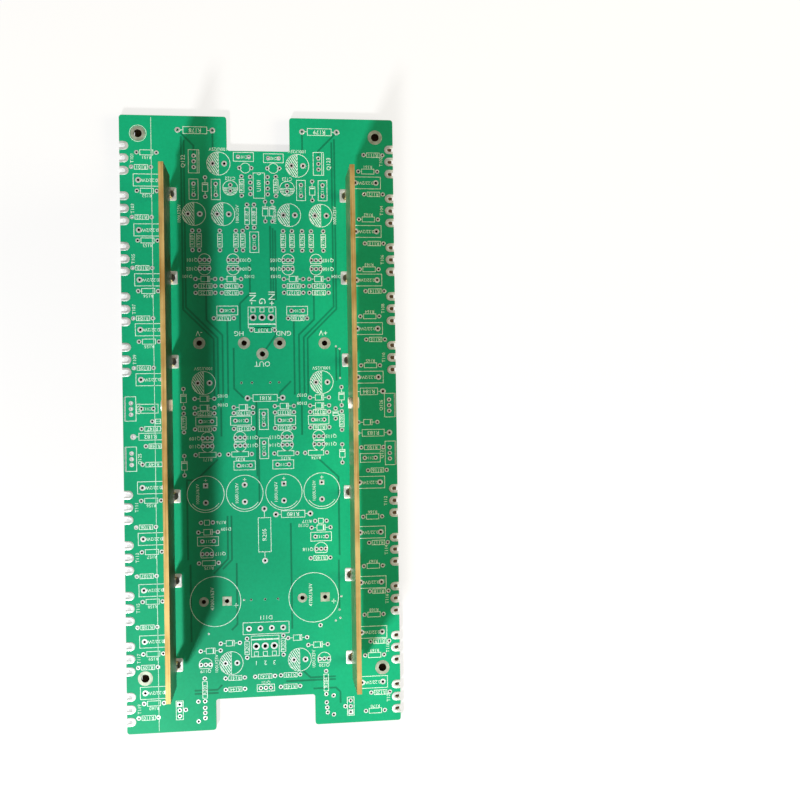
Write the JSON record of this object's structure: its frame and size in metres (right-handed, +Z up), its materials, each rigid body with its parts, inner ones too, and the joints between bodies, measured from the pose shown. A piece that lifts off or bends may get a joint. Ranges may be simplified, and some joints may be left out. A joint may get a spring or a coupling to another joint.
{
  "type": "amplifier circuit board",
  "caption": "Long bare green circuit board for a power amplifier, notched at both ends, with slotted edge lands for output transistors and upright brass bus bars on soldered tabs.",
  "frame": {"origin": "under the middle of the board, level with the ends of the bus bars' tails, which the part stands on", "axes": "+X to the right long edge, +Y to the end with the narrow notch, +Z up out of the printed side"},
  "size_m": [0.12, 0.27, 0.0358],
  "materials": {
    "solder_mask": "glossy green solder mask on glass-epoxy laminate",
    "bar_brass": "rolled brass, slightly tarnished",
    "tinned_copper": "hot-air levelled tin on copper",
    "solder": "smooth hand-made solder joint",
    "legend_ink": "screen-printed white legend ink"
  },
  "bodies": {
    "root": {"board": "solder_mask", "left_edge_lands": "tinned_copper", "right_edge_lands": "tinned_copper", "left_bus_bar": "bar_brass", "right_bus_bar": "bar_brass", "left_bar_lands": "tinned_copper", "right_bar_lands": "tinned_copper", "left_bar_solder": "solder", "right_bar_solder": "solder", "mounting_lands": "tinned_copper", "wire_terminal_lands": "tinned_copper"}
  },
  "joints": []
}
